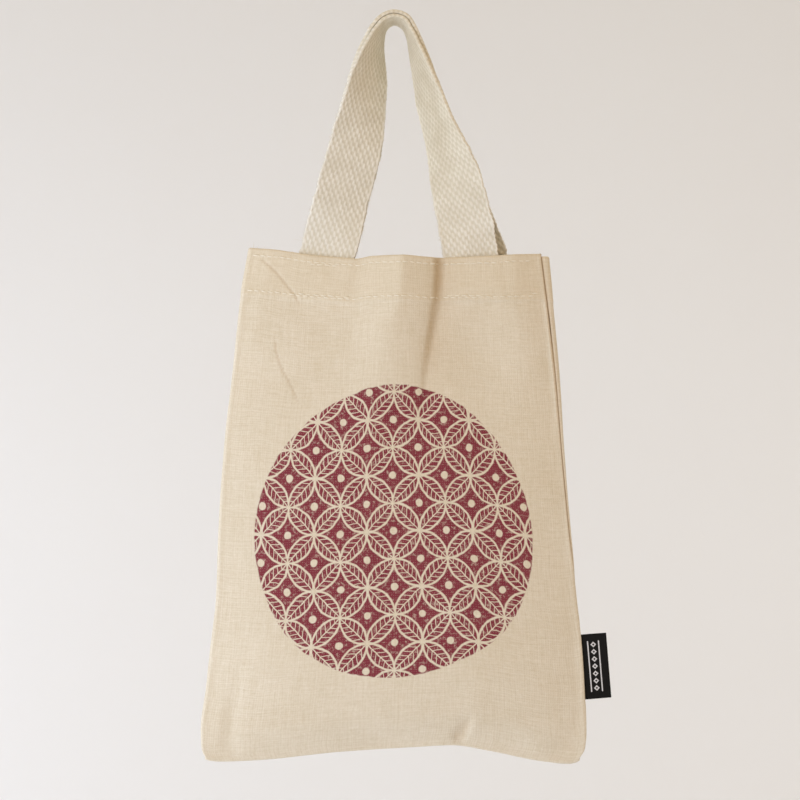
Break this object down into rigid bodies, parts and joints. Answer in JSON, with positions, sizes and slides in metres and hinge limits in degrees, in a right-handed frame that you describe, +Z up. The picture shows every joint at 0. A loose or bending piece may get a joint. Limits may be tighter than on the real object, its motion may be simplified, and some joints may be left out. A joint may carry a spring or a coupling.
{
  "type": "tote bag",
  "caption": "Small unlined cotton tote bag hanging by its webbing handles: hemmed calico panels sewn at the sides and bottom, a buckled mouth and a folded tab in the side seam.",
  "frame": {"origin": "underside of the front handle's loop, at the middle of the webbing's width, where a hook carries the bag", "axes": "+Z up, the bag's front faces -Y, +X is to the right as seen from the front"},
  "size_m": [0.1789, 0.0289, 0.3299],
  "materials": {
    "calico": "matt plain-woven natural cotton",
    "webbing": "matt coarse-woven cotton webbing",
    "label": "black woven tape, slightly glossy"
  },
  "bodies": {
    "root": {"front_panel": "calico", "back_panel": "calico", "front_handle": "webbing", "back_handle": "webbing", "side_label": "label"}
  },
  "joints": []
}
